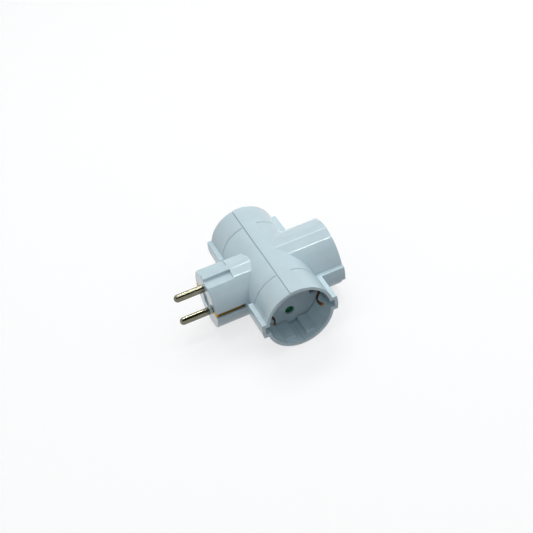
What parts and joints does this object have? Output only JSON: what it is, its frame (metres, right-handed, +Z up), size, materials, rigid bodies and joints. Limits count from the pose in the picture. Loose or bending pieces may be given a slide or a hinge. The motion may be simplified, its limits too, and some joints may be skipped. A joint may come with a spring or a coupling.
{
  "type": "plug adapter",
  "caption": "Cross-shaped mains adapter: a round-pin earthed plug on one arm, and on the other arms recessed round sockets with guide blocks, earth clips and shutters.",
  "frame": {"origin": "middle of the plug face, halfway between the pins", "axes": "+X from the plug into the adapter and out of the end socket, -Y out of the front socket, +Y out of the rear socket, +Z up along the line of the pins, towards the side with the raised band"},
  "size_m": [0.1001, 0.0864, 0.043],
  "materials": {
    "housing": "glossy moulded, cool white",
    "well_floor": "satin moulded, cool white",
    "shutter": "moulded, dark green",
    "carrier": "matte moulded, black",
    "pin_metal": "nickel-plated, polished",
    "contact_brass": "stamped, plain",
    "earth_copper": "stamped, darkened",
    "spring_wire": "drawn wire"
  },
  "bodies": {
    "adapter": {"plug_half": "housing", "socket_half": "housing", "upper_pin": "pin_metal", "lower_pin": "pin_metal", "upper_contact_bar": "contact_brass", "lower_contact_bar": "contact_brass", "front_plug_earth_strip": "earth_copper", "rear_plug_earth_strip": "earth_copper", "front_corner_earth_strip": "earth_copper", "rear_corner_earth_strip": "earth_copper", "earth_bridge": "earth_copper", "earth_tube": "pin_metal", "front_socket_floor": "well_floor", "front_shutter_spring": "spring_wire", "front_contact_carrier": "carrier", "front_upper_sleeve": "contact_brass", "front_lower_sleeve": "contact_brass", "rear_socket_floor": "well_floor", "rear_shutter_spring": "spring_wire", "rear_contact_carrier": "carrier", "rear_upper_sleeve": "contact_brass", "rear_lower_sleeve": "contact_brass", "end_socket_floor": "well_floor", "end_shutter_spring": "spring_wire", "end_contact_carrier": "carrier", "end_upper_sleeve": "contact_brass", "end_lower_sleeve": "contact_brass"},
    "front_shutter_rotor": {"front_shutter": "shutter"},
    "rear_shutter_rotor": {"rear_shutter": "shutter"},
    "end_shutter_rotor": {"end_shutter": "shutter"}
  },
  "joints": [
    {"name": "front_shutter_turn", "type": "hinge", "parent": "adapter", "child": "front_shutter_rotor", "pos_m": [0.0423, -0.0225, 0], "axis": [0, -1, 0], "range_deg": [0, 40], "stiffness_Nm_per_rad": 0.001, "springref_deg": -28.65, "deforming": ["front_shutter_spring"]},
    {"name": "rear_shutter_turn", "type": "hinge", "parent": "adapter", "child": "rear_shutter_rotor", "pos_m": [0.0423, 0.0225, 0], "axis": [0, 1, 0], "range_deg": [0, 40], "stiffness_Nm_per_rad": 0.001, "springref_deg": -28.65, "deforming": ["rear_shutter_spring"]},
    {"name": "end_shutter_turn", "type": "hinge", "parent": "adapter", "child": "end_shutter_rotor", "pos_m": [0.0604, 0, 0], "axis": [1, 0, 0], "range_deg": [0, 40], "stiffness_Nm_per_rad": 0.001, "springref_deg": -28.65, "deforming": ["end_shutter_spring"]}
  ]
}
